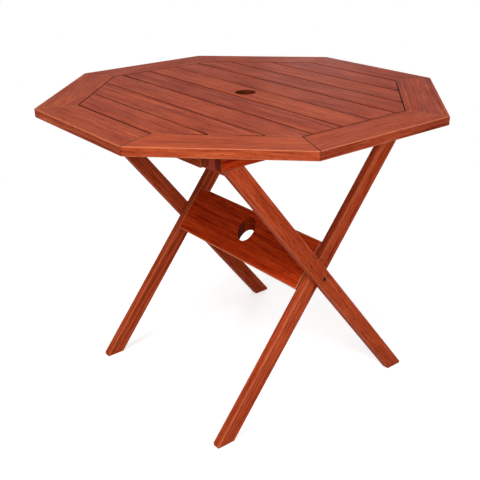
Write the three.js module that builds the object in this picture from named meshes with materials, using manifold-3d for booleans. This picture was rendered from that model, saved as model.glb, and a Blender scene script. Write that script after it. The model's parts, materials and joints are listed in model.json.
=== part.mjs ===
import * as THREE from 'three';
import { mergeVertices } from 'three/addons/utils/BufferGeometryUtils.js';
import Module from 'manifold-3d';

// A folding garden table of oiled hardwood: an octagonal slatted top with a hole for an
// umbrella pole, on two leg frames that cross and fold together under it.
// Millimetres, +Z up. The slats run along X and the legs fold in the YZ plane.
// The origin is on the ground, under the middle of the umbrella hole.

const wasm = await Module();
wasm.setup();

// Clearances
const seatGap = 0.3; // between two pieces that bear on each other
const turnGap = 0.3; // round a bolt in its hole, on the radius
const slotGap = 0.3; // round a tongue, tenon or biscuit in its slot
const overrun = 3; // how far a cut runs past the face that it opens

// Octagonal top
const tableHeight = 735;
const topAcrossFlats = 900;
const boardThickness = 20;
const boardEase = 1.6;
const borderCount = 8;
const borderWidth = 88.5;

// Slats, let into the border by a tongue at each end
const slatCount = 9;
const slatGap = 3;
const slatEndGap = 1.8;
const tongueThickness = 7.4;
const tongueLength = 10;
const tongueShoulder = 4;
const grooveRelief = 1;

// Biscuits in the mitres of the border
const biscuitLength = 56;
const biscuitWidth = 23;
const biscuitThickness = 4;

// Umbrella hole in the middle slat
const poleHoleDiameter = 48;
const poleHoleEase = 1.5;

// Battens under the top, and the rail that stops the outer legs
const battenHeight = 40;
const battenThickness = 22;
const battenEndMargin = 20.5; // beyond the hinge bolt
const battenEase = 2;
const stopRailThickness = 20;
const stopRailHeight = 40;
const stopRailEase = 2;

// Legs
const legWidth = 40;
const legThickness = 22;
const legEase = 3;
const toeClip = 8;
const footReach = 277.4; // from the middle of the table to the middle of a foot
const hingeReach = 269.5; // from the middle of the table to the hinge bolts
const hingeDrop = 25; // from the underside of the top to the hinge bolts
const legsAcross = 574; // over the outer faces of the outer legs
const legSpace = 2; // between an outer leg and the inner leg beside it

// Stretcher between the inner legs, bored upright for the pole
const stretcherWidth = 128;
const stretcherThickness = 22;
const stretcherEase = 2.5;
const stretcherBoreAlongX = 54;
const stretcherBoreAcross = 41;
const stretcherTenonWidth = 32;
const stretcherTenonInset = 8; // from the edge of the stretcher to its tenon

// Head rail between the tops of the outer legs
const headRailThickness = 22;
const headRailDrop = 8; // from the underside of the top to the rail
const headRailWidth = 95;
const headRailEase = 2;
const headTenonWidth = 24;
const headTenonInset = 6;

// Stub tenons
const tenonLength = 12;
const tenonThickness = 10;
const tenonRelief = 0.5;

// Bolts, washers and nuts
const boltDiameter = 6;
const capHeadDiameter = 11;
const capHeadHeight = 5;
const capHeadSunk = 2;
const capHeadRelief = 0.8;
const socketAcross = 5;
const socketDepth = 3;
const domeHeadDiameter = 16;
const domeHeadHeight = 3.5;
const washerDiameter = 20;
const nutAcrossFlats = 10;
const nutHeight = 5;
const nutWasherDiameter = 13;
const nutWasherThickness = 1.2;
const nutSunk = 1;
const nutRelief = 1;
const boltTail = 0.5; // thread beyond the nut

// Roundness
const easeSteps = 2;
const smallRoundSteps = 20;
const wideRoundSteps = 40;
const biscuitSteps = 10;

// Derived places
const half = 1 / 2;
const topUnder = tableHeight - boardThickness;
const battenUnder = topUnder - seatGap - battenHeight;
const outerApothem = topAcrossFlats * half;
const innerApothem = outerApothem - borderWidth;
const sideAngle = (2 * Math.PI) / borderCount;
const sideTangent = Math.tan(sideAngle * half);
const slatWidth = (2 * innerApothem - (slatCount + 1) * slatGap) / slatCount;
const grooveDepth = tongueLength + grooveRelief;

const hingeHeight = topUnder - hingeDrop;
const lean = Math.atan2(footReach + hingeReach, hingeHeight);
const pivotHeight = footReach / Math.tan(lean);
const hingeAlongLeg = (hingeHeight - pivotHeight) / Math.cos(lean);
const battenHalf = hingeReach + battenEndMargin;

const outerFace = legsAcross * half;
const outerLegInside = outerFace - legThickness;
const innerLegOutside = outerLegInside - legSpace;
const innerLegInside = innerLegOutside - legThickness;
const battenInside = outerFace - battenThickness;
const stopRailLength = 2 * innerLegInside;
const legHalf = legWidth * half;

const stretcherFront = -legHalf;
const stretcherMiddle = stretcherFront + stretcherThickness * half;
const stretcherAlongLeg = -stretcherMiddle / Math.tan(lean);

const headRailBack = legHalf;
const headRailFront = headRailBack - headRailThickness;
const headRailTop = topUnder - headRailDrop;
const headRailCorner = (headRailTop - pivotHeight - headRailFront * Math.sin(lean)) / Math.cos(lean);
const headRailLow = headRailCorner - headRailWidth;
const stopRailBack = headRailFront * Math.cos(lean) - headRailCorner * Math.sin(lean) - seatGap;

// Woods and metal
const topWood = { color: '#8f4a38', roughness: 0.55, metalness: 0 };
const slatWood = { color: '#96503d', roughness: 0.55, metalness: 0 };
const legWood = { color: '#9a4528', roughness: 0.5, metalness: 0 };
const railWood = { color: '#86402c', roughness: 0.55, metalness: 0 };
const biscuitWood = { color: '#c9a878', roughness: 0.8, metalness: 0 };
const boltSteel = { color: '#8d8a82', roughness: 0.35, metalness: 1 };

function solidOf(geometry) {
  const bare = geometry.clone();
  bare.deleteAttribute('normal');
  bare.deleteAttribute('uv');
  const merged = mergeVertices(bare);
  return new wasm.Manifold(new wasm.Mesh({
    numProp: 3,
    vertProperties: Float32Array.from(merged.attributes.position.array),
    triVerts: Uint32Array.from(merged.index.array),
  }));
}

function geometryOf(solid) {
  const mesh = solid.getMesh();
  const geometry = new THREE.BufferGeometry();
  geometry.setAttribute('position', new THREE.BufferAttribute(mesh.vertProperties, 3));
  geometry.setIndex(new THREE.BufferAttribute(mesh.triVerts, 1));
  geometry.computeVertexNormals();
  return geometry;
}

function cut(body, cutters) {
  let solid = solidOf(body);
  for (const cutter of cutters) {
    solid = solid.subtract(solidOf(cutter));
  }
  return geometryOf(solid);
}

function join(body, additions) {
  let solid = solidOf(body);
  for (const addition of additions) {
    solid = solid.add(solidOf(addition));
  }
  return geometryOf(solid);
}

function piece(name, geometry, finish) {
  const mesh = new THREE.Mesh(geometry, new THREE.MeshStandardMaterial({ ...finish, flatShading: true }));
  mesh.name = name;
  return mesh;
}

// A flat board: outline in the XY plane, thickness upwards from zero, arrises eased
function board(outline, thickness, ease) {
  const geometry = new THREE.ExtrudeGeometry(new THREE.Shape(outline), {
    depth: thickness - 2 * ease,
    bevelThickness: ease,
    bevelSize: ease,
    bevelOffset: -ease,
    bevelSegments: easeSteps,
  });
  geometry.translate(0, 0, ease);
  return geometry;
}

// The same with sharp arrises, centred on its thickness
function sheet(outline, thickness) {
  const geometry = new THREE.ExtrudeGeometry(new THREE.Shape(outline), {
    depth: thickness,
    bevelEnabled: false,
  });
  geometry.translate(0, 0, -thickness * half);
  return geometry;
}

// Stands a board up, so that its outline lies in the YZ plane and its thickness runs along X
function standAcrossX(geometry) {
  const alongY = new THREE.Vector3(0, 1, 0);
  const alongZ = new THREE.Vector3(0, 0, 1);
  const alongX = new THREE.Vector3(1, 0, 0);
  geometry.applyMatrix4(new THREE.Matrix4().makeBasis(alongY, alongZ, alongX));
  return geometry;
}

function block(low, high) {
  const size = new THREE.Vector3().subVectors(high, low);
  const middle = new THREE.Vector3().addVectors(low, high).multiplyScalar(half);
  const geometry = new THREE.BoxGeometry(size.x, size.y, size.z);
  geometry.translate(middle.x, middle.y, middle.z);
  return geometry;
}

// A round or six-sided rod along X from one x to the other, at a given y and z
function rodAlongX(radius, fromX, toX, y, z, steps) {
  const geometry = new THREE.CylinderGeometry(radius, radius, Math.abs(toX - fromX), steps);
  geometry.rotateZ(Math.PI * half);
  geometry.translate((fromX + toX) * half, y, z);
  return geometry;
}

// A turned piece: profile of (radius, height) points, its axis laid along +X
function turnedAlongX(profile, steps) {
  const geometry = new THREE.LatheGeometry(profile, steps);
  geometry.rotateZ(-Math.PI * half);
  return geometry;
}

// How far a slat reaches from the middle, at a given y, inside an octagon of this apothem
function reachAt(y, apothem) {
  const diagonal = apothem * (1 + sideTangent);
  return Math.min(apothem, diagonal - Math.abs(y));
}

// The part of an octagon between two lines along X
function stripOutline(lowY, highY, apothem) {
  const corner = apothem * sideTangent;
  const levels = [lowY, highY];
  for (const level of [-corner, corner]) {
    if (level > lowY && level < highY) {
      levels.push(level);
    }
  }
  levels.sort((a, b) => a - b);
  const right = levels.map((y) => new THREE.Vector2(reachAt(y, apothem), y));
  const left = levels.map((y) => new THREE.Vector2(-reachAt(y, apothem), y)).reverse();
  return [...right, ...left];
}

// A biscuit's outline: two arcs that meet at its tips
function biscuitOutline(length, width) {
  const bulge = width * half;
  const reach = length * half;
  const radius = (reach * reach + bulge * bulge) / (2 * bulge);
  const spread = Math.asin(reach / radius);
  const points = [];
  for (const side of [1, -1]) {
    for (let step = 0; step < biscuitSteps; step += 1) {
      const turn = side * spread * (1 - (2 * step) / biscuitSteps);
      points.push(new THREE.Vector2(
        radius * Math.sin(turn),
        side * (radius * Math.cos(turn) - (radius - bulge)),
      ));
    }
  }
  return points;
}

// Middle of a mitre, on the line between two border boards
const mitreMiddle = (outerApothem + innerApothem) * half / Math.cos(sideAngle * half);

function biscuitBody(clearance) {
  const outline = biscuitOutline(biscuitLength + 2 * clearance, biscuitWidth + 2 * clearance);
  return sheet(outline, biscuitThickness + 2 * clearance);
}

function borderBoard() {
  const mitreY = (x) => x * sideTangent - seatGap * half / Math.cos(sideAngle * half);
  const outline = [
    new THREE.Vector2(innerApothem, -mitreY(innerApothem)),
    new THREE.Vector2(outerApothem, -mitreY(outerApothem)),
    new THREE.Vector2(outerApothem, mitreY(outerApothem)),
    new THREE.Vector2(innerApothem, mitreY(innerApothem)),
  ];
  const grooveHalf = tongueThickness * half + slotGap;
  const groove = block(
    new THREE.Vector3(innerApothem - overrun, -outerApothem, boardThickness * half - grooveHalf),
    new THREE.Vector3(innerApothem + grooveDepth, outerApothem, boardThickness * half + grooveHalf),
  );
  const slots = [-1, 1].map((side) => {
    const slot = biscuitBody(slotGap);
    slot.translate(mitreMiddle, 0, boardThickness * half);
    slot.rotateZ(side * sideAngle * half);
    return slot;
  });
  return cut(board(outline, boardThickness, boardEase), [groove, ...slots]);
}

function poleHole() {
  const radius = poleHoleDiameter * half;
  const flare = radius + poleHoleEase + overrun;
  const profile = [
    new THREE.Vector2(0, -overrun),
    new THREE.Vector2(flare, -overrun),
    new THREE.Vector2(radius, poleHoleEase),
    new THREE.Vector2(radius, boardThickness - poleHoleEase),
    new THREE.Vector2(flare, boardThickness + overrun),
    new THREE.Vector2(0, boardThickness + overrun),
  ];
  const geometry = new THREE.LatheGeometry(profile, wideRoundSteps);
  geometry.rotateX(Math.PI * half);
  return geometry;
}

function slat(index) {
  const lowY = -innerApothem + slatGap + index * (slatWidth + slatGap);
  const highY = lowY + slatWidth;
  const outline = stripOutline(lowY, highY, innerApothem - slatEndGap);
  const tongueOutline = stripOutline(
    lowY + tongueShoulder,
    highY - tongueShoulder,
    innerApothem + tongueLength,
  );
  const tongue = sheet(tongueOutline, tongueThickness);
  tongue.translate(0, 0, boardThickness * half);
  const body = join(board(outline, boardThickness, boardEase), [tongue]);
  const isMiddle = lowY < 0 && highY > 0;
  return isMiddle ? cut(body, [poleHole()]) : body;
}

function batten() {
  const outline = [
    new THREE.Vector2(-battenHalf, battenUnder),
    new THREE.Vector2(battenHalf, battenUnder),
    new THREE.Vector2(battenHalf, battenUnder + battenHeight),
    new THREE.Vector2(-battenHalf, battenUnder + battenHeight),
  ];
  const body = standAcrossX(board(outline, battenThickness, battenEase));
  const boltHole = rodAlongX(
    boltDiameter * half + turnGap,
    -overrun,
    battenThickness + overrun,
    hingeReach,
    hingeHeight,
    smallRoundSteps,
  );
  return cut(body, [boltHole]);
}

function stopRail() {
  const top = topUnder - seatGap;
  const outline = [
    new THREE.Vector2(stopRailBack - stopRailThickness, top - stopRailHeight),
    new THREE.Vector2(stopRailBack, top - stopRailHeight),
    new THREE.Vector2(stopRailBack, top),
    new THREE.Vector2(stopRailBack - stopRailThickness, top),
  ];
  const body = standAcrossX(board(outline, stopRailLength, stopRailEase));
  body.translate(-stopRailLength * half, 0, 0);
  return body;
}

// In a leg frame, z runs up the leg from the crossing bolt and y is square to it.
// The inner frame leans to +Y and the outer frame to -Y; tilt is the sign of that lean.
function heightOnLeg(height, y, tilt) {
  return (height - pivotHeight + tilt * y * Math.sin(lean)) / Math.cos(lean);
}

// Foot end of a leg, level with the ground, its sharp corner clipped
function footPoints(tilt) {
  const toeY = -tilt * legHalf;
  const heelY = tilt * legHalf;
  const toe = heightOnLeg(0, toeY, tilt);
  const clipInward = tilt * toeClip * half;
  const points = [
    new THREE.Vector2(toeY, toe + toeClip),
    new THREE.Vector2(toeY + clipInward, heightOnLeg(0, toeY + clipInward, tilt)),
    new THREE.Vector2(heelY, heightOnLeg(0, heelY, tilt)),
  ];
  return tilt > 0 ? points : points.reverse();
}

function mortise(lowY, lowZ, width, side, face) {
  const depth = tenonLength + tenonRelief;
  const fromX = side * (face - overrun);
  const toX = side * (face + depth);
  return block(
    new THREE.Vector3(Math.min(fromX, toX), lowY - slotGap, lowZ - slotGap),
    new THREE.Vector3(Math.max(fromX, toX), lowY + tenonThickness + slotGap, lowZ + width + slotGap),
  );
}

function tenon(lowY, lowZ, width, side, shoulder, face) {
  const fromX = side * (shoulder - overrun);
  const toX = side * (face + tenonLength);
  return block(
    new THREE.Vector3(Math.min(fromX, toX), lowY, lowZ),
    new THREE.Vector3(Math.max(fromX, toX), lowY + tenonThickness, lowZ + width),
  );
}

const stretcherLow = stretcherAlongLeg - stretcherWidth * half;
const stretcherTenonY = stretcherMiddle - tenonThickness * half;
const stretcherTenonsZ = [
  stretcherLow + stretcherTenonInset,
  stretcherLow + stretcherWidth - stretcherTenonInset - stretcherTenonWidth,
];
const headTenonY = (headRailFront + headRailBack) * half - tenonThickness * half;
const headTenonZ = headRailLow + headTenonInset;

function innerLeg(side) {
  const head = [];
  for (let step = 0; step <= smallRoundSteps * half; step += 1) {
    const turn = (Math.PI * step) / (smallRoundSteps * half);
    head.push(new THREE.Vector2(legHalf * Math.cos(turn), hingeAlongLeg + legHalf * Math.sin(turn)));
  }
  const body = standAcrossX(board([...footPoints(1), ...head], legThickness, legEase));
  body.translate(side > 0 ? innerLegInside : -innerLegOutside, 0, 0);
  const boltReach = boltDiameter * half + turnGap;
  const nutPocketDepth = nutSunk + nutHeight + nutWasherThickness + 2 * seatGap;
  const cutters = [
    rodAlongX(boltReach, side * (innerLegInside - overrun), side * (innerLegOutside + overrun),
      0, 0, smallRoundSteps),
    rodAlongX(boltReach, side * (innerLegInside - overrun), side * (innerLegOutside + overrun),
      0, hingeAlongLeg, smallRoundSteps),
    rodAlongX(nutWasherDiameter * half + nutRelief, side * (innerLegInside - overrun),
      side * (innerLegInside + nutPocketDepth), 0, 0, smallRoundSteps),
  ];
  for (const lowZ of stretcherTenonsZ) {
    cutters.push(mortise(stretcherTenonY, lowZ, stretcherTenonWidth, side, innerLegInside));
  }
  return cut(body, cutters);
}

function outerLeg(side) {
  const top = battenUnder - seatGap;
  const head = [
    new THREE.Vector2(legHalf, heightOnLeg(top, legHalf, -1)),
    new THREE.Vector2(-legHalf, heightOnLeg(top, -legHalf, -1)),
  ];
  const body = standAcrossX(board([...footPoints(-1), ...head], legThickness, legEase));
  body.translate(side > 0 ? outerLegInside : -outerFace, 0, 0);
  const headPocketDepth = capHeadSunk + capHeadHeight + seatGap;
  const cutters = [
    rodAlongX(boltDiameter * half + turnGap, side * (outerLegInside - overrun),
      side * (outerFace + overrun), 0, 0, smallRoundSteps),
    rodAlongX(capHeadDiameter * half + capHeadRelief, side * (outerFace - headPocketDepth),
      side * (outerFace + overrun), 0, 0, smallRoundSteps),
    mortise(headTenonY, headTenonZ, headTenonWidth, side, outerLegInside),
  ];
  return cut(body, cutters);
}

function stretcher() {
  const reach = innerLegInside - seatGap;
  const outline = [
    new THREE.Vector2(-reach, stretcherLow),
    new THREE.Vector2(reach, stretcherLow),
    new THREE.Vector2(reach, stretcherLow + stretcherWidth),
    new THREE.Vector2(-reach, stretcherLow + stretcherWidth),
  ];
  const body = board(outline, stretcherThickness, stretcherEase);
  body.rotateX(Math.PI * half);
  body.translate(0, stretcherFront + stretcherThickness, 0);
  const tenons = [];
  for (const side of [-1, 1]) {
    for (const lowZ of stretcherTenonsZ) {
      tenons.push(tenon(stretcherTenonY, lowZ, stretcherTenonWidth, side, reach, innerLegInside));
    }
  }
  const ellipse = new THREE.EllipseCurve(
    0, 0, stretcherBoreAlongX * half, stretcherBoreAcross * half, 0, 2 * Math.PI,
  );
  const boreOutline = ellipse.getPoints(wideRoundSteps).slice(1);
  const bore = sheet(boreOutline, 2 * stretcherWidth);
  bore.rotateX(lean);
  bore.translate(0, stretcherMiddle, stretcherAlongLeg);
  return cut(join(body, tenons), [bore]);
}

function headRail() {
  const reach = outerLegInside - seatGap;
  const outline = [
    new THREE.Vector2(headRailFront, headRailLow),
    new THREE.Vector2(headRailBack, headRailLow),
    new THREE.Vector2(headRailBack, heightOnLeg(headRailTop, headRailBack, -1)),
    new THREE.Vector2(headRailFront, heightOnLeg(headRailTop, headRailFront, -1)),
  ];
  const body = standAcrossX(board(outline, 2 * reach, headRailEase));
  body.translate(-reach, 0, 0);
  const tenons = [-1, 1].map((side) => (
    tenon(headTenonY, headTenonZ, headTenonWidth, side, reach, outerLegInside)
  ));
  return join(body, tenons);
}

// Bolts lie along +X with the underside of the head at zero, the head beyond it
function capBolt(length) {
  const radius = capHeadDiameter * half;
  const profile = [
    new THREE.Vector2(0, -length),
    new THREE.Vector2(boltDiameter * half, -length),
    new THREE.Vector2(boltDiameter * half, 0),
    new THREE.Vector2(radius, 0),
    new THREE.Vector2(radius, capHeadHeight),
    new THREE.Vector2(0, capHeadHeight),
  ];
  const socket = rodAlongX(
    socketAcross * half / Math.cos(Math.PI / 6),
    capHeadHeight - socketDepth,
    capHeadHeight + overrun,
    0,
    0,
    6,
  );
  return cut(turnedAlongX(profile, smallRoundSteps), [socket]);
}

function domeBolt(length) {
  const reach = domeHeadDiameter * half;
  const radius = (reach * reach + domeHeadHeight * domeHeadHeight) / (2 * domeHeadHeight);
  const spread = Math.asin(reach / radius);
  const profile = [
    new THREE.Vector2(0, -length),
    new THREE.Vector2(boltDiameter * half, -length),
    new THREE.Vector2(boltDiameter * half, 0),
  ];
  const domeSteps = smallRoundSteps / 4;
  for (let step = 0; step < domeSteps; step += 1) {
    const turn = spread * (1 - step / domeSteps);
    profile.push(new THREE.Vector2(
      radius * Math.sin(turn),
      radius * Math.cos(turn) - radius + domeHeadHeight,
    ));
  }
  profile.push(new THREE.Vector2(0, domeHeadHeight));
  return turnedAlongX(profile, smallRoundSteps);
}

function ring(outerRadius, thickness, steps) {
  const body = rodAlongX(outerRadius, 0, thickness, 0, 0, steps);
  const hole = rodAlongX(
    boltDiameter * half + turnGap, -overrun, thickness + overrun, 0, 0, smallRoundSteps,
  );
  return cut(body, [hole]);
}

function nut() {
  return ring(nutAcrossFlats * half / Math.cos(Math.PI / 6), nutHeight, 6);
}

// Puts a piece of hardware on its bolt's axis; on the left side it is turned about
function setOnBolt(mesh, side, x, y, z) {
  mesh.position.set(side * x, y, z);
  mesh.rotation.z = side > 0 ? 0 : Math.PI;
  return mesh;
}

const sides = [
  { word: 'left', sign: -1 },
  { word: 'right', sign: 1 },
];

function tableTop() {
  const group = new THREE.Group();
  for (let index = 0; index < borderCount; index += 1) {
    const mesh = piece(`border_board_${index + 1}`, borderBoard(), topWood);
    mesh.position.z = topUnder;
    mesh.rotation.z = index * sideAngle;
    group.add(mesh);
    const biscuit = piece(`mitre_biscuit_${index + 1}`, biscuitBody(0), biscuitWood);
    const turn = (index + half) * sideAngle;
    biscuit.position.set(
      mitreMiddle * Math.cos(turn),
      mitreMiddle * Math.sin(turn),
      topUnder + boardThickness * half,
    );
    biscuit.rotation.z = turn;
    group.add(biscuit);
  }
  for (let index = 0; index < slatCount; index += 1) {
    const mesh = piece(`slat_${index + 1}`, slat(index), slatWood);
    mesh.position.z = topUnder;
    group.add(mesh);
  }
  group.add(piece('stop_rail', stopRail(), railWood));
  for (const { word, sign } of sides) {
    const mesh = piece(`batten_${word}`, batten(), railWood);
    mesh.position.x = sign > 0 ? battenInside : -outerFace;
    group.add(mesh);
  }
  return group;
}

// Hinge bolts: dome head outside the batten, nut inside the inner leg
function hinges() {
  const group = new THREE.Group();
  const washerThickness = legSpace - 2 * seatGap;
  const nutWasherFace = innerLegInside - seatGap - nutWasherThickness;
  const nutFace = nutWasherFace - seatGap - nutHeight;
  const headFace = outerFace + seatGap;
  const length = headFace - nutFace + boltTail;
  for (const { word, sign } of sides) {
    const parts = [
      [piece(`hinge_bolt_${word}`, domeBolt(length), boltSteel), headFace],
      [piece(`hinge_washer_${word}`, ring(washerDiameter * half, washerThickness, smallRoundSteps),
        boltSteel), innerLegOutside + seatGap],
      [piece(`hinge_nut_washer_${word}`,
        ring(nutWasherDiameter * half, nutWasherThickness, smallRoundSteps), boltSteel), nutWasherFace],
      [piece(`hinge_nut_${word}`, nut(), boltSteel), nutFace],
    ];
    for (const [mesh, x] of parts) {
      group.add(setOnBolt(mesh, sign, x, hingeReach, hingeHeight));
    }
  }
  return group;
}

// Crossing bolts: cap head sunk in the outer leg, nut sunk in the inner leg
function crossingBolts() {
  const group = new THREE.Group();
  const washerThickness = legSpace - 2 * seatGap;
  const nutFace = innerLegInside + nutSunk;
  const nutWasherFace = nutFace + nutHeight + seatGap;
  const headFace = outerFace - capHeadSunk - capHeadHeight;
  const length = headFace - nutFace + boltTail;
  for (const { word, sign } of sides) {
    const parts = [
      [piece(`crossing_bolt_${word}`, capBolt(length), boltSteel), headFace],
      [piece(`crossing_washer_${word}`,
        ring(washerDiameter * half, washerThickness, smallRoundSteps), boltSteel),
      innerLegOutside + seatGap],
      [piece(`crossing_nut_washer_${word}`,
        ring(nutWasherDiameter * half, nutWasherThickness, smallRoundSteps), boltSteel), nutWasherFace],
      [piece(`crossing_nut_${word}`, nut(), boltSteel), nutFace],
    ];
    for (const [mesh, x] of parts) {
      group.add(setOnBolt(mesh, sign, x, 0, 0));
    }
  }
  return group;
}

function innerFrame() {
  const group = new THREE.Group();
  group.position.z = pivotHeight;
  group.rotation.x = -lean;
  for (const { word, sign } of sides) {
    group.add(piece(`inner_leg_${word}`, innerLeg(sign), legWood));
  }
  group.add(piece('stretcher', stretcher(), legWood));
  group.add(crossingBolts());
  return group;
}

function outerFrame() {
  const group = new THREE.Group();
  group.position.z = pivotHeight;
  group.rotation.x = lean;
  for (const { word, sign } of sides) {
    group.add(piece(`outer_leg_${word}`, outerLeg(sign), legWood));
  }
  group.add(piece('head_rail', headRail(), railWood));
  return group;
}

const table = new THREE.Group();
table.add(tableTop());
table.add(hinges());
table.add(innerFrame());
table.add(outerFrame());

export default table;
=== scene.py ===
import json
import math
import random

import bmesh
import bpy
from mathutils import Matrix, Vector


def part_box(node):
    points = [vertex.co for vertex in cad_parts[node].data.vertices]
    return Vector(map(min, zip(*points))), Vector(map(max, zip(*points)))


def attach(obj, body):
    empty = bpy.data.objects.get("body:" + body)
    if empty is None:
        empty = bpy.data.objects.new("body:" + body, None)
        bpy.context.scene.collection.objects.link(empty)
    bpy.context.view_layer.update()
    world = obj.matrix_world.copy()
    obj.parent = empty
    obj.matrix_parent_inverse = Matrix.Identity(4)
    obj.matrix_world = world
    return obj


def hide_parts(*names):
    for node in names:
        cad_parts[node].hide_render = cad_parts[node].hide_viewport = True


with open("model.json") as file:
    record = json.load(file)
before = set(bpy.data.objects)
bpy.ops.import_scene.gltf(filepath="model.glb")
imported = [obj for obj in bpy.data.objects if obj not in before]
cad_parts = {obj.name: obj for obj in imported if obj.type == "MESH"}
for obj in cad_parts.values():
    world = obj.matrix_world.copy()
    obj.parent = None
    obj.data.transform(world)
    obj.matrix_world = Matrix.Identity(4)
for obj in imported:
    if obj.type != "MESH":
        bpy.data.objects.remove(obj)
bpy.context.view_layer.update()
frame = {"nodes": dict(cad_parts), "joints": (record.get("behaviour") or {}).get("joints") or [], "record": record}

scene = bpy.context.scene
mm = 0.001
print("stage 1: frame loaded,", len(frame["nodes"]), "nodes")


# small helpers

def hexColour(text):  # sRGB hex to the linear values that shaders take
    channels = [int(text[i:i + 2], 16) / 255 for i in (1, 3, 5)]
    linear = [c / 12.92 if c <= 0.04045 else ((c + 0.055) / 1.055) ** 2.4 for c in channels]
    return (*linear, 1.0)


def addNode(tree, kind, settings=None, links=None):  # one node, its values and its feeds
    node = tree.nodes.new(kind)
    for name, value in (settings or {}).items():
        if isinstance(name, int) or name in node.inputs:
            node.inputs[name].default_value = value
        else:
            setattr(node, name, value)
    for name, source in (links or {}).items():
        tree.links.new(source, node.inputs[name])
    return node


def newMaterial(name):
    material = bpy.data.materials.new(name)
    material.use_nodes = True
    material.node_tree.nodes.clear()
    return material, material.node_tree


def linkObject(name, mesh, material):
    piece = bpy.data.objects.new(name, mesh)
    scene.collection.objects.link(piece)
    mesh.materials.clear()
    mesh.materials.append(material)
    return piece


# camera, at the photograph's angle

photoCamera = {
    "azimuth": 51.841,          # degrees, 0 looks along +Y
    "elevation": 24.067,
    "roll": -0.718,
    "distance": 1.8162,         # metres from the point that it aims at
    "aim": (0.1018, -0.1016, 0.4151),
    "lens": 57.475,             # mm
    "sensor": 36,               # mm
}


def makeCamera(spec):
    turn = math.radians(spec["azimuth"])
    rise = math.radians(spec["elevation"])
    back = Vector((
        math.sin(turn) * math.cos(rise),
        -math.cos(turn) * math.cos(rise),
        math.sin(rise),
    ))
    data = bpy.data.cameras.new("photoCamera")
    data.lens = spec["lens"]
    data.sensor_width = spec["sensor"]
    camera = bpy.data.objects.new("photoCamera", data)
    scene.collection.objects.link(camera)
    facing = (-back).to_track_quat("-Z", "Y").to_matrix()
    roll = Matrix.Rotation(math.radians(spec["roll"]), 3, "Z")
    camera.matrix_world = (facing @ roll).to_4x4()
    camera.location = Vector(spec["aim"]) + back * spec["distance"]
    scene.camera = camera


makeCamera(photoCamera)
print("stage 2: camera placed")


# light: a soft box high in front and one overhead, a fill at the right, a low one behind
# that lights the legs' backs without a glare on the top, and a pale room

studioLight = {  # metres and watts
    "boxes": {
        "keySoftBox": {"place": (0.5, -2.5, 2.95), "aim": (0, 0, 0.5),
                       "across": 1.8, "power": 74},
        "overheadSoftBox": {"place": (0.3, 0.4, 3.2), "aim": (0, 0, 0.7),
                            "across": 2.2, "power": 25},
        "rightFill": {"place": (2.1, -0.8, 1.30), "aim": (0.1, 0, 0.5),
                      "across": 1.1, "power": 30},
        "backFill": {"place": (-1.8, 2.0, 0.46), "aim": (0, 0, 0.45),
                     "across": 0.9, "power": 20},
    },
    "room": {"colour": "#f4f5f7", "strength": 0.26},
    "floor": {
        "colour": "#cfcdca",        # what lights the underside of the table
        "side": 60,
        "white": 0.54,              # what the eye sees even in full shadow
        "shadow": 0.82,             # and what the lamps add to it
        "shadowReach": (0.9, 1.8),  # from here on it fades to plain white
    },
}


def addSoftBox(name, spec):
    data = bpy.data.lights.new(name, "AREA")
    data.shape = "DISK"
    data.size = spec["across"]
    data.energy = spec["power"]
    lamp = bpy.data.objects.new(name, data)
    scene.collection.objects.link(lamp)
    lamp.location = spec["place"]
    toAim = Vector(spec["aim"]) - Vector(spec["place"])
    lamp.rotation_mode = "QUATERNION"
    lamp.rotation_quaternion = toAim.to_track_quat("-Z", "Y")


def whereSeen(tree):  # 1 where the camera looks straight, in a mirror or through glass
    path = addNode(tree, "ShaderNodeLightPath")
    seen = addNode(tree, "ShaderNodeMath", {"operation": "MAXIMUM"},
                   {0: path.outputs["Is Camera Ray"], 1: path.outputs["Is Glossy Ray"]})
    return addNode(tree, "ShaderNodeMath", {"operation": "MAXIMUM"},
                   {0: seen.outputs[0], 1: path.outputs["Is Transmission Ray"]}).outputs[0]


def makeRoom(spec):
    world = bpy.data.worlds.new("paleRoom")
    world.use_nodes = True
    scene.world = world
    tree = world.node_tree
    tree.nodes.clear()
    soft = addNode(tree, "ShaderNodeBackground",
                   {"Color": hexColour(spec["colour"]), "Strength": spec["strength"]})
    white = addNode(tree, "ShaderNodeBackground", {"Color": (1, 1, 1, 1), "Strength": 1.0})
    mix = addNode(tree, "ShaderNodeMixShader", None,
                  {0: whereSeen(tree), 1: soft.outputs[0], 2: white.outputs[0]})
    addNode(tree, "ShaderNodeOutputWorld", None, {"Surface": mix.outputs[0]})


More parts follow.
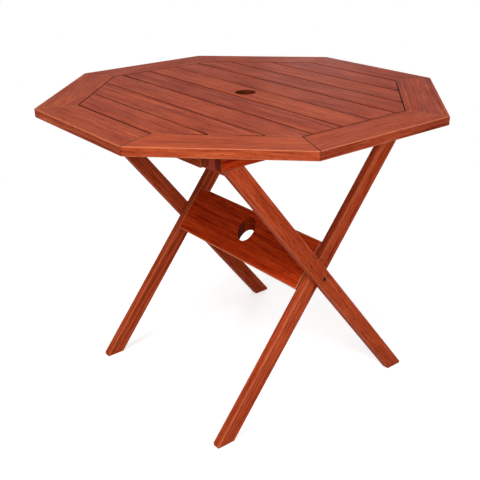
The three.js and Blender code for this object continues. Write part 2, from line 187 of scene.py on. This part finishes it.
def makeFloor(spec):  # white to the eye, with a light shadow round the feet
    material, tree = newMaterial("paleFloor")
    place = addNode(tree, "ShaderNodeTexCoord").outputs["Object"]
    away = addNode(tree, "ShaderNodeVectorMath", {"operation": "LENGTH"}, {0: place})
    far = addNode(tree, "ShaderNodeMapRange",
                  {"interpolation_type": "SMOOTHSTEP", "From Min": spec["shadowReach"][0],
                   "From Max": spec["shadowReach"][1]},
                  {"Value": away.outputs["Value"]})
    matt = addNode(tree, "ShaderNodeBsdfDiffuse", {"Color": hexColour(spec["colour"])})
    faint = addNode(tree, "ShaderNodeBsdfDiffuse", {"Color": (spec["shadow"],) * 3 + (1,)})
    most = addNode(tree, "ShaderNodeEmission",
                   {"Color": (1, 1, 1, 1), "Strength": spec["white"]})
    white = addNode(tree, "ShaderNodeEmission", {"Color": (1, 1, 1, 1), "Strength": 1.0})
    near = addNode(tree, "ShaderNodeAddShader", None,
                   {0: most.outputs[0], 1: faint.outputs[0]})
    shown = addNode(tree, "ShaderNodeMixShader", None,
                    {0: far.outputs[0], 1: near.outputs[0], 2: white.outputs[0]})
    both = addNode(tree, "ShaderNodeMixShader", None,
                   {0: whereSeen(tree), 1: matt.outputs[0], 2: shown.outputs[0]})
    addNode(tree, "ShaderNodeOutputMaterial", None, {"Surface": both.outputs[0]})
    mesh = bpy.data.meshes.new("floor")
    half = spec["side"] / 2
    corners = [(-half, -half, 0), (half, -half, 0), (half, half, 0), (-half, half, 0)]
    mesh.from_pydata(corners, [], [(0, 1, 2, 3)])
    linkObject("floor", mesh, material)


for boxName, boxSpec in studioLight["boxes"].items():
    addSoftBox(boxName, boxSpec)
makeRoom(studioLight["room"])
makeFloor(studioLight["floor"])
scene.view_settings.view_transform = "Standard"
print("stage 3: light and floor")


# planed and oiled hardwood: red-brown heartwood with straight streaks and open pores, a thin oil film that
# gives a low satin sheen, arrises paler from rubbing and a painted highlight, painted shade in seams and holes

topHardwood = {  # sun and rain have bleached it a little, so it looks paler and drier
    "shades": ("#7d2e1b", "#9c4329", "#a94d30", "#c26845"),     # dark to light in the grain
    "tints": ("#cdb4b6", "#eadeda", "#fff4e0"),                 # boards from different logs
    "arris": "#cc7c58", "rubAndHighlight": 0.6,
    "endGrain": "#5a2a1c",
    "seam": "#2e0e07",
    "roughness": 0.48, "specular": 0.025, "film": "#ffc0a4",
}
legHardwood = {  # less weather reaches the legs, so the oil keeps them a strong orange red
    "shades": ("#872d17", "#a94626", "#b8512f", "#c96742"),
    "tints": ("#dcc8c2", "#f0e2dc", "#fff4e6"),
    "arris": "#cc7a56", "rubAndHighlight": 0.28,
    "endGrain": "#4e2012",
    "seam": "#260b04",
    "roughness": 0.44, "specular": 0.01, "film": "#ffa880",
}
shadedRailHardwood = {  # battens and head rail: the same wood, painted redder as shade from the top
    "shades": ("#8a200a", "#b03613", "#c04118", "#cf5222"),
    "tints": ("#dccdc8", "#f2e6e0", "#fff6ea"),
    "arris": "#bc5226", "rubAndHighlight": 0.4,
    "endGrain": "#4a2a20",
    "seam": "#220a04",
    "roughness": 0.46, "specular": 0.01, "film": "#ffa070",
}
# stretcher: the rails' wood with its painted shade; hands and feet rub its edges pale, and a painted highlight
# makes them paler still
stretcherHardwood = dict(shadedRailHardwood, arris="#dc9468", rubAndHighlight=0.65)

grainSize = {  # millimetres along and across the grain, then the noise's own detail
    "wander": (420, 50, 2.0),   # how slowly the growth bands wander
    "streak": (190, 5.0, 3.0),  # colour streaks
    "fibre": (50, 2.8, 2.0),    # real fibres are finer, drawn coarser so that they show
    "pore": (13, 1.3, 0.0),     # open pores, coarser than real ones too
    "patch": (170, 45, 1.0),    # clouds of warmer and cooler wood
}
woodFigure = {
    "noise": 0.55,              # roughness of the noise itself
    "bandGap": 5.5,             # mm between growth bands
    "bandStray": 30,            # mm that they wander
    "bandDetail": 1.5,
    "shares": {"bands": 0.27, "streak": 0.23, "fibre": 0.38, "patch": 0.12},
    "shadeStops": (0.38, 0.46, 0.54, 0.64),
    "tintStops": (0.0, 0.5, 1.0),
    "drift": 1.1,               # how much patches warm or cool a board
    "poreEdge": (0.62, 0.74), "poreDark": 0.45,
}
# oil, wear and glue, and how dark the painted shade in seams and pole holes goes
oilWearAndShade = {
    "soaked": 0.70,             # end grain drinks more oil
    "glueLine": (0.4, 1.4),     # mm from a mitre where its dirt begins to fade, and is gone
    "glueTilt": (0.3, 0.9),     # rise of a face's normal, from the edge to the top
    "glueDirt": (0.36, 0.9),    # and how dark the line is there
    "seamShadeAndGlue": 0.88,           # how dark the painted shade in seams and pole holes goes, and the plugs' glue rings
    "mostShadeAndGlue": 0.9,
    "ior": 1.46,                # oil film
    "glossFrom": (0.3, 0.7), "glossRange": (-0.07, 0.10),   # duller where streaks are light
    "fibreRise": 0.7,
    "relief": 0.30, "reliefDepth": 0.4,     # mm
}


def grainScale(along, across):  # millimetres to repeats a metre, along and across a board
    return (1 / (along * mm), 1 / (across * mm), 1 / (across * mm))


def makePatterns(tree, grain):  # each pattern of the wood, drawn out along its grain
    pattern = {}
    for kind, (along, across, detail) in grainSize.items():
        place = addNode(tree, "ShaderNodeVectorMath",
                        {"operation": "MULTIPLY", 1: grainScale(along, across)}, {0: grain})
        pattern[kind] = addNode(tree, "ShaderNodeTexNoise",
                                {"Scale": 1.0, "Detail": detail,
                                 "Roughness": woodFigure["noise"]},
                                {"Vector": place.outputs[0]}).outputs

    # growth bands: distance from the heart of the tree, which lies beside each board
    stray = woodFigure["bandStray"] * mm
    shift = addNode(tree, "ShaderNodeVectorMath",
                    {"operation": "MULTIPLY_ADD", 1: (0, stray, stray)},
                    {0: pattern["wander"]["Color"], 2: grain})
    fromHeart = addNode(tree, "ShaderNodeVectorMath",
                        {"operation": "MULTIPLY", 1: (0, 1, 1)}, {0: shift.outputs[0]})
    radius = addNode(tree, "ShaderNodeVectorMath", {"operation": "LENGTH"},
                     {0: fromHeart.outputs[0]})
    pattern["bands"] = addNode(tree, "ShaderNodeTexNoise",
                               {"noise_dimensions": "1D",
                                "Scale": 1 / (woodFigure["bandGap"] * mm),
                                "Detail": woodFigure["bandDetail"]},
                               {"W": radius.outputs["Value"]}).outputs
    return pattern


def freshColour(tree, pattern, boardTint, spec):  # figure and tint, before any wear
    figure = None
    for kind, share in woodFigure["shares"].items():
        fed = {0: pattern[kind][0]}
        if figure is not None:
            fed[2] = figure
        figure = addNode(tree, "ShaderNodeMath",
                         {"operation": "MULTIPLY_ADD", 1: share, 2: 0.0}, fed).outputs[0]
    # patches inside a board warm and cool it, on top of the board's own tint
    drift = addNode(tree, "ShaderNodeMath",
                    {"operation": "MULTIPLY_ADD", 1: woodFigure["drift"],
                     2: -woodFigure["drift"] / 2},
                    {0: pattern["patch"][0]})
    warmth = addNode(tree, "ShaderNodeMath", {"operation": "ADD"},
                     {0: drift.outputs[0], 1: boardTint})
    ramps = []
    for amount, stops, colours in (
            (figure, woodFigure["shadeStops"], spec["shades"]),
            (warmth.outputs[0], woodFigure["tintStops"], spec["tints"])):
        ramp = addNode(tree, "ShaderNodeValToRGB", None, {"Fac": amount})
        elements = ramp.color_ramp.elements
        elements[0].position, elements[1].position = stops[0], stops[-1]
        for position in stops[1:-1]:
            elements.new(position)
        for element, shade in zip(elements, colours):
            element.color = hexColour(shade)
        ramps.append(ramp.outputs["Color"])
    return addNode(tree, "ShaderNodeMix",
                   {"data_type": "RGBA", "blend_type": "MULTIPLY", 0: 1.0},
                   {6: ramps[0], 7: ramps[1]}).outputs[2]


def mitreDirt(tree, fromMitre):  # a dark glue line, less of it on the edge than on top
    apart = addNode(tree, "ShaderNodeSeparateXYZ", None, {"Vector": fromMitre})
    nearest = addNode(tree, "ShaderNodeMath", {"operation": "MINIMUM"},
                      {0: apart.outputs["X"], 1: apart.outputs["Y"]})
    geometry = addNode(tree, "ShaderNodeNewGeometry")
    facing = addNode(tree, "ShaderNodeSeparateXYZ", None,
                     {"Vector": geometry.outputs["True Normal"]})
    most = addNode(tree, "ShaderNodeMapRange",
                   {"From Min": oilWearAndShade["glueTilt"][0],
                    "From Max": oilWearAndShade["glueTilt"][1],
                    "To Min": oilWearAndShade["glueDirt"][0],
                    "To Max": oilWearAndShade["glueDirt"][1]},
                   {"Value": facing.outputs["Z"]})
    return addNode(tree, "ShaderNodeMapRange",
                   {"From Min": oilWearAndShade["glueLine"][0],
                    "From Max": oilWearAndShade["glueLine"][1], "To Max": 0.0},
                   {"Value": nearest.outputs[0], "To Min": most.outputs[0]}).outputs[0]


def makeHardwood(name, spec):
    material, tree = newMaterial(name)
    stored = {}
    for output, kinds in {"Vector": ("grainCoord", "fromMitre"),
                          "Fac": ("boardTint", "endGrain", "arris", "seam")}.items():
        for kind in kinds:
            stored[kind] = addNode(tree, "ShaderNodeAttribute",
                                   {"attribute_name": kind}).outputs[output]
    pattern = makePatterns(tree, stored["grainCoord"])

    # wear, dirt and painted light: arrises paler from rubbing and a painted highlight, soaked end grain, open
    # pores, glue lines, and painted shade in the seams and pole holes
    rubAndHighlight = addNode(tree, "ShaderNodeMath", {"operation": "MULTIPLY", 1: spec["rubAndHighlight"]},
                     {0: stored["arris"]})
    soaked = addNode(tree, "ShaderNodeMath",
                     {"operation": "MULTIPLY", 1: oilWearAndShade["soaked"]},
                     {0: stored["endGrain"]})
    pores = addNode(tree, "ShaderNodeMapRange",
                    {"From Min": woodFigure["poreEdge"][0],
                     "From Max": woodFigure["poreEdge"][1],
                     "To Min": 0.0, "To Max": woodFigure["poreDark"]},
                    {"Value": pattern["pore"][0]})
    # painted shade in seams and pole holes, with the plugs' glue rings and the mitres' glue lines
    shadeAndGlue = addNode(tree, "ShaderNodeMath",
                   {"operation": "MULTIPLY_ADD", 1: oilWearAndShade["seamShadeAndGlue"]},
                   {0: stored["seam"], 2: mitreDirt(tree, stored["fromMitre"])})
    shadeAndGlueCapped = addNode(tree, "ShaderNodeMath",
                     {"operation": "MINIMUM", 1: oilWearAndShade["mostShadeAndGlue"]},
                     {0: shadeAndGlue.outputs[0]})
    colour = freshColour(tree, pattern, stored["boardTint"], spec)
    # arris: rubbing and a painted highlight; seam: pores, then glue lines with the painted shade of seams and pole
    # holes
    for kind, amount in (("arris", rubAndHighlight), ("endGrain", soaked),
                         ("seam", pores), ("seam", shadeAndGlueCapped)):
        colour = addNode(tree, "ShaderNodeMix",
                         {"data_type": "RGBA", 7: hexColour(spec[kind])},
                         {0: amount.outputs[0], 6: colour}).outputs[2]

    # streaks vary the gloss, fibres stand up a little and pores lie open
    gloss = addNode(tree, "ShaderNodeMapRange",
                    {"From Min": oilWearAndShade["glossFrom"][0],
                     "From Max": oilWearAndShade["glossFrom"][1],
                     "To Min": spec["roughness"] + oilWearAndShade["glossRange"][0],
                     "To Max": spec["roughness"] + oilWearAndShade["glossRange"][1]},
                    {"Value": pattern["streak"][0]})
    raised = addNode(tree, "ShaderNodeMath",
                     {"operation": "MULTIPLY", 1: oilWearAndShade["fibreRise"]},
                     {0: pattern["fibre"][0]})
    pitted = addNode(tree, "ShaderNodeMath", {"operation": "SUBTRACT"},
                     {0: raised.outputs[0], 1: pores.outputs[0]})
    bump = addNode(tree, "ShaderNodeBump",
                   {"Strength": oilWearAndShade["relief"],
                    "Distance": oilWearAndShade["reliefDepth"] * mm},
                   {"Height": pitted.outputs[0]})
    surface = addNode(tree, "ShaderNodeBsdfPrincipled",
                      {"IOR": oilWearAndShade["ior"], "Specular IOR Level": spec["specular"],
                       "Specular Tint": hexColour(spec["film"])},
                      {"Base Color": colour, "Roughness": gloss.outputs[0],
                       "Normal": bump.outputs[0]})
    addNode(tree, "ShaderNodeOutputMaterial", None, {"Surface": surface.outputs[0]})
    return material


topWood = makeHardwood("oiledHardwoodTop", topHardwood)
legWood = makeHardwood("oiledHardwoodLegs", legHardwood)
shadedRailWood = makeHardwood("oiledHardwoodRailsShaded", shadedRailHardwood)
stretcherWood = makeHardwood("oiledHardwoodStretcher", stretcherHardwood)


# beech biscuits: pressed chips, pale, dry and matt, hidden in the mitres

pressedBeech = {
    "shades": ("#b08d5f", "#d8bd90"),
    "fibre": (9, 0.6, 2.0),     # mm along and across the grain, then the noise's detail
    "roughness": 0.8,
    "relief": 0.4, "reliefDepth": 0.1,      # mm
}


def makeBeech(spec):
    material, tree = newMaterial("pressedBeech")
    grain = addNode(tree, "ShaderNodeAttribute", {"attribute_name": "grainCoord"})
    along, across, detail = spec["fibre"]
    place = addNode(tree, "ShaderNodeVectorMath",
                    {"operation": "MULTIPLY", 1: grainScale(along, across)},
                    {0: grain.outputs["Vector"]})
    fibres = addNode(tree, "ShaderNodeTexNoise", {"Scale": 1.0, "Detail": detail},
                     {"Vector": place.outputs[0]})
    ramp = addNode(tree, "ShaderNodeValToRGB", None, {"Fac": fibres.outputs[0]})
    for element, shade in zip(ramp.color_ramp.elements, spec["shades"]):
        element.color = hexColour(shade)
    bump = addNode(tree, "ShaderNodeBump",
                   {"Strength": spec["relief"], "Distance": spec["reliefDepth"] * mm},
                   {"Height": fibres.outputs[0]})
    surface = addNode(tree, "ShaderNodeBsdfPrincipled", {"Roughness": spec["roughness"]},
                      {"Base Color": ramp.outputs["Color"], "Normal": bump.outputs[0]})
    addNode(tree, "ShaderNodeOutputMaterial", None, {"Surface": surface.outputs[0]})
    return material


# zinc plated steel, gone brown out of doors and darker still with painted shade, as the heads sit deep in their
# counterbores: dark and cloudy, half matt

dulledShadedZinc = {
    "shades": ("#241c16", "#54463a"), "shadeStops": (0.3, 0.7),
    "cloud": 5,                 # mm
    "cloudDetail": 3.0,
    "roughness": (0.42, 0.62),
    "relief": 0.2, "reliefDepth": 0.05,     # mm
}


def makeDulledShadedZinc(spec):
    material, tree = newMaterial("dulledZincSteelShaded")
    place = addNode(tree, "ShaderNodeTexCoord").outputs["Object"]
    cloud = addNode(tree, "ShaderNodeTexNoise",
                    {"Scale": 1 / (spec["cloud"] * mm), "Detail": spec["cloudDetail"]},
                    {"Vector": place})
    ramp = addNode(tree, "ShaderNodeValToRGB", None, {"Fac": cloud.outputs[0]})
    for element, position, shade in zip(ramp.color_ramp.elements,
                                        spec["shadeStops"], spec["shades"]):
        element.position, element.color = position, hexColour(shade)
    gloss = addNode(tree, "ShaderNodeMapRange",
                    {"To Min": spec["roughness"][0], "To Max": spec["roughness"][1]},
                    {"Value": cloud.outputs[0]})
    bump = addNode(tree, "ShaderNodeBump",
                   {"Strength": spec["relief"], "Distance": spec["reliefDepth"] * mm},
                   {"Height": cloud.outputs[0]})
    surface = addNode(tree, "ShaderNodeBsdfPrincipled", {"Metallic": 1.0},
                      {"Base Color": ramp.outputs["Color"], "Roughness": gloss.outputs[0],
                       "Normal": bump.outputs[0]})
    addNode(tree, "ShaderNodeOutputMaterial", None, {"Surface": surface.outputs[0]})
    return material


beech = makeBeech(pressedBeech)
zincSteel = makeDulledShadedZinc(dulledShadedZinc)
print("stage 4: materials")


# boards: each keeps its CAD solid's shape and gets its own cut of the log

boardCut = {
    "seed": 11,
    "heart": (0.03, 0.16),      # metres from the heart of the tree to the board
    "log": 9,                   # metres either way along the log
    "weld": 0.02,               # mm
    "flatUnder": 0.5,           # degrees between facets that are one flat face
    "smoothUnder": 50,          # degrees between facets that shade as one
    "endWithin": 42,            # degrees from the grain within which a face is end grain
    "flatWithin": 12,           # degrees from a board's own faces: more makes an arris
    "holeReach": 0.045,         # metres from a board's middle, for the pole's hole
    "upright": 0.05,            # rise of its normal below which a hole's wall is upright
    "wall": 0.3,                # and below which a face in a seam is a wall, not an arris
    "seamFacing": 0.3,          # how far a face turns to a seam before it lies in it
    "seamShadeAndGlue": (1.0, 0.7),     # painted shade on the walls and on the arrises above them
    "clearOfMitre": 99.0,       # mm from a mitre, for the boards that have none
}
bodyOfNode = {node: body
              for body, nodes in frame["record"]["behaviour"]["bodies"].items()
              for node in nodes}
chance = random.Random(boardCut["seed"])


def cleanMesh(node):  # welded, with the flat faces in one piece
    build = bmesh.new()
    build.from_mesh(frame["nodes"][node].data)
    bmesh.ops.remove_doubles(build, verts=build.verts, dist=boardCut["weld"] * mm)
    bmesh.ops.dissolve_limit(build, angle_limit=math.radians(boardCut["flatUnder"]),
                             verts=build.verts, edges=build.edges)
    mesh = bpy.data.meshes.new(node)
    build.to_mesh(mesh)
    build.free()
    return mesh


def shadeSoftly(piece):
    mesh = piece.data
    mesh.polygons.foreach_set("use_smooth", [True] * len(mesh.polygons))
    mesh.set_sharp_from_angle(angle=math.radians(boardCut["smoothUnder"]))
    weight = piece.modifiers.new("faceNormals", "WEIGHTED_NORMAL")
    weight.keep_sharp = True


def storeGrain(mesh, coords, tint, fromMitre):  # what the wood's shader reads at each point
    points = len(mesh.vertices)
    for kind, sort, key, values in (
            ("grainCoord", "FLOAT_VECTOR", "vector", coords),
            ("boardTint", "FLOAT", "value", [tint] * points),
            ("fromMitre", "FLOAT_VECTOR", "vector", fromMitre)):
        mesh.attributes.new(kind, sort, "POINT").data.foreach_set(key, values)


def markFaces(mesh, centre, along, across, seams, holeShade):  # end grain, arrises, painted shade in seams and pole holes
    thick = along.cross(across)
    endLimit = math.cos(math.radians(boardCut["endWithin"]))
    flatLimit = math.cos(math.radians(boardCut["flatWithin"]))
    wallShade, arrisShade = boardCut["seamShadeAndGlue"]
    kinds = {"endGrain": [], "arris": [], "seam": []}
    for face in mesh.polygons:
        normal = face.normal
        end = abs(normal.dot(along)) > endLimit
        flat = max(abs(normal.dot(across)), abs(normal.dot(thick))) > flatLimit
        inHole = (holeShade is not None and abs(normal.z) < boardCut["upright"]
                  and (face.center - centre).length < boardCut["holeReach"])
        inSeam = inHole or any(normal.dot(Vector(seam)) > boardCut["seamFacing"]
                               for seam in seams)
        seamShadeAndGlue = wallShade if abs(normal.z) < boardCut["wall"] else arrisShade
        shadeAndGlue = holeShade if inHole else seamShadeAndGlue
        kinds["endGrain"].append(float(end))
        kinds["arris"].append(float(not (end or flat or inSeam)))
        kinds["seam"].append(shadeAndGlue if inSeam else 0.0)
    for kind, values in kinds.items():
        mesh.attributes.new(kind, "FLOAT", "FACE").data.foreach_set("value", values)


def dressBoard(node, along, across, material, name, tint=None,
               seams=(), mitres=(), holeShade=None):
    along = Vector(along).normalized()
    across = Vector(across).normalized()
    thick = along.cross(across)
    mesh = cleanMesh(node)
    low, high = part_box(node)
    centre = (low + high) / 2
    angle = chance.uniform(0, 2 * math.pi)
    away = chance.uniform(*boardCut["heart"])
    start = chance.uniform(-boardCut["log"], boardCut["log"])
    own = chance.random() if tint is None else tint
    offset = Vector((start, away * math.cos(angle), away * math.sin(angle)))
    coords = []
    fromMitre = []
    for vertex in mesh.vertices:
        p = vertex.co - centre
        coords += [p.dot(along) + offset.x, p.dot(across) + offset.y,
                   p.dot(thick) + offset.z]
        apart = [abs(vertex.co.dot(Vector(mitre))) / mm - opened
                 for mitre, opened in mitres]
        fromMitre += (apart or [boardCut["clearOfMitre"]] * 2) + [0.0]
    storeGrain(mesh, coords, own, fromMitre)
    markFaces(mesh, centre, along, across, seams, holeShade)
    piece = linkObject(name, mesh, material)
    shadeSoftly(piece)
    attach(piece, bodyOfNode[node])
    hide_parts(node)


# octagonal top: how warm each board is, 0 to 1, and how its joints have opened; border
# boards and mitres are counted anticlockwise from +X, slats from -Y to +Y

topBoards = {
    "borderTint": (0.45, 0.30, 0.30, 0.30, 0.35, 0.45, 0.55, 0.95),
    "slatTint": (0.45, 0.55, 0.50, 0.20, 0.65, 0.35, 0.25, 0.45, 0.30),
    "mitreOpened": (-0.3, -0.2, 0.0, 0.0, -0.2, -0.4, 0.25, 0.7),   # mm, under 0 is tight
    # painted shade on the walls of the pole hole, and along each slat's seams
    "holeShade": 0.9,
    "slatSeams": ((0, 1, 0), (0, -1, 0), (1, 0, 0), (-1, 0, 0)),
}
xAxis = (1, 0, 0)
yAxis = (0, 1, 0)
zAxis = (0, 0, 1)
eighth = math.pi / 4
for index, tint in enumerate(topBoards["borderTint"]):
    turn = index * eighth
    outward = (math.cos(turn), math.sin(turn), 0)
    inward = (-math.cos(turn), -math.sin(turn), 0)
    tangent = (-math.sin(turn), math.cos(turn), 0)
    corner = turn + eighth / 2
    mitres = [((-math.sin(side), math.cos(side), 0), topBoards["mitreOpened"][at])
              for side, at in ((corner, index), (corner - eighth, index - 1))]
    dressBoard(f"border_board_{index + 1}", tangent, outward, topWood,
               f"borderBoard{index + 1}", tint, (inward,), mitres)
    dressBoard(f"mitre_biscuit_{index + 1}", (math.cos(corner), math.sin(corner), 0),
               (-math.sin(corner), math.cos(corner), 0), beech,
               f"mitreBiscuit{index + 1}")
for index, tint in enumerate(topBoards["slatTint"]):
    dressBoard(f"slat_{index + 1}", xAxis, yAxis, topWood,
               f"slatBoard{index + 1}", tint, topBoards["slatSeams"],
               holeShade=topBoards["holeShade"])
print("stage 5: top boards")


# battens, rails, legs and stretcher: the legs lean in the YZ plane, as the frame says

underBoards = {
    # the battens' low tint is painted shade from the top
    "battenShadedTint": 0.2, "stopRailTint": 0.5, "headRailTint": 0.4,
    # the stretcher's pole hole gets painted shade on its walls
    "legTint": 0.5, "stretcherTint": 0.5, "holeShade": 0.55,
}
for side in ("left", "right"):
    dressBoard(f"batten_{side}", yAxis, xAxis, shadedRailWood,
               f"battenBoard_{side}", underBoards["battenShadedTint"])
dressBoard("stop_rail", xAxis, yAxis, legWood, "stopRailBoard",
           underBoards["stopRailTint"])
hingeJoint, crossingJoint = frame["joints"][0], frame["joints"][1]
reach = Vector(hingeJoint["pos_m"]) - Vector(crossingJoint["pos_m"])
innerAlong = Vector((0, reach.y, reach.z)).normalized()
outerAlong = Vector((0, -innerAlong.y, innerAlong.z))
dressBoard("head_rail", xAxis, outerAlong, shadedRailWood, "headRailBoard",
           underBoards["headRailTint"])
for side in ("left", "right"):
    dressBoard(f"inner_leg_{side}", innerAlong, xAxis, legWood,
               f"innerLegBoard_{side}", underBoards["legTint"])
    dressBoard(f"outer_leg_{side}", outerAlong, xAxis, legWood,
               f"outerLegBoard_{side}", underBoards["legTint"])
dressBoard("stretcher", xAxis, innerAlong, stretcherWood, "stretcherBoard",
           underBoards["stretcherTint"], holeShade=underBoards["holeShade"])
print("stage 6: legs and rails")


# wooden plugs over the screws that hold the top on its battens and stop rail

screwPlugs = {
    "across": 9,                # mm
    "proud": 0.15,              # mm that it stands below the wood round it
    "sunk": 0.6,                # mm that the disc reaches into the wood
    "bevel": 0.6,               # mm
    "sides": 32,
    "lean": 0.6,                # radians off the board's grain at most
    "heart": 0.05,              # metres from the heart of the tree
    "cuts": 7,                  # spreads the plugs along the log
    "tint": (0.6, 1.0),
    "rim": 0.99,                # faces whose normal rises less than this are the dark rim
    "slats": range(2, 9),       # the slats that lie on the battens
    "alongRail": 4,
    "railInset": 0.12,          # share of the rail's length before the first
}


def plugMesh(name):  # a flat disc, bevelled round its lower face
    build = bmesh.new()
    rings = []
    wide = screwPlugs["across"] / 2
    outline = [(wide, screwPlugs["sunk"]), (wide, 0.0),
               (wide - screwPlugs["bevel"], -screwPlugs["proud"])]
    for radius, height in outline:
        ring = []
        for index in range(screwPlugs["sides"]):
            turn = 2 * math.pi * index / screwPlugs["sides"]
            ring.append(build.verts.new((radius * mm * math.cos(turn),
                                         radius * mm * math.sin(turn), height * mm)))
        rings.append(ring)
    build.faces.new(rings[0])
    build.faces.new(list(reversed(rings[-1])))
    for upper, lower in zip(rings, rings[1:]):
        for index in range(len(upper)):
            after = (index + 1) % len(upper)
            build.faces.new((upper[after], upper[index], lower[index], lower[after]))
    mesh = bpy.data.meshes.new(name)
    build.to_mesh(mesh)
    build.free()
    return mesh


def makePlug(name, place, grain, material, node):
    mesh = plugMesh(name)
    mesh.transform(Matrix.Translation(place))
    lean = Matrix.Rotation(chance.uniform(-screwPlugs["lean"], screwPlugs["lean"]), 3, "Z")
    grain = lean @ Vector(grain)
    across = grain.cross(Vector(zAxis))
    start = place.x * screwPlugs["cuts"]
    coords = []
    for vertex in mesh.vertices:
        p = vertex.co - place
        coords += [p.dot(grain) + start, p.dot(across) + screwPlugs["heart"], p.z]
    storeGrain(mesh, coords, chance.uniform(*screwPlugs["tint"]),
               [boardCut["clearOfMitre"]] * 3 * len(mesh.vertices))
    rim = [float(abs(face.normal.z) < screwPlugs["rim"]) for face in mesh.polygons]
    mesh.attributes.new("seam", "FLOAT", "FACE").data.foreach_set("value", rim)
    piece = linkObject(name, mesh, material)
    shadeSoftly(piece)
    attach(piece, bodyOfNode[node])


for side in ("left", "right"):
    low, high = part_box(f"batten_{side}")
    for index in screwPlugs["slats"]:
        slatLow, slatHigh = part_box(f"slat_{index}")
        place = Vector(((low.x + high.x) / 2, (slatLow.y + slatHigh.y) / 2, low.z))
        makePlug(f"battenPlug_{side}{index}", place, yAxis, legWood,
                 f"batten_{side}")
low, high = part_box("stop_rail")
for index in range(screwPlugs["alongRail"]):
    share = index / (screwPlugs["alongRail"] - 1)
    share = screwPlugs["railInset"] + (1 - 2 * screwPlugs["railInset"]) * share
    place = Vector((low.x + (high.x - low.x) * share, (low.y + high.y) / 2, low.z))
    makePlug(f"railPlug{index + 1}", place, xAxis, topWood, "stop_rail")
print("stage 7: screw plugs")


# bolts, washers and nuts keep their CAD solids

for node, piece in frame["nodes"].items():
    if node.startswith(("hinge_", "crossing_")):
        piece.data.materials.clear()
        piece.data.materials.append(zincSteel)
print("stage 8: hardware")
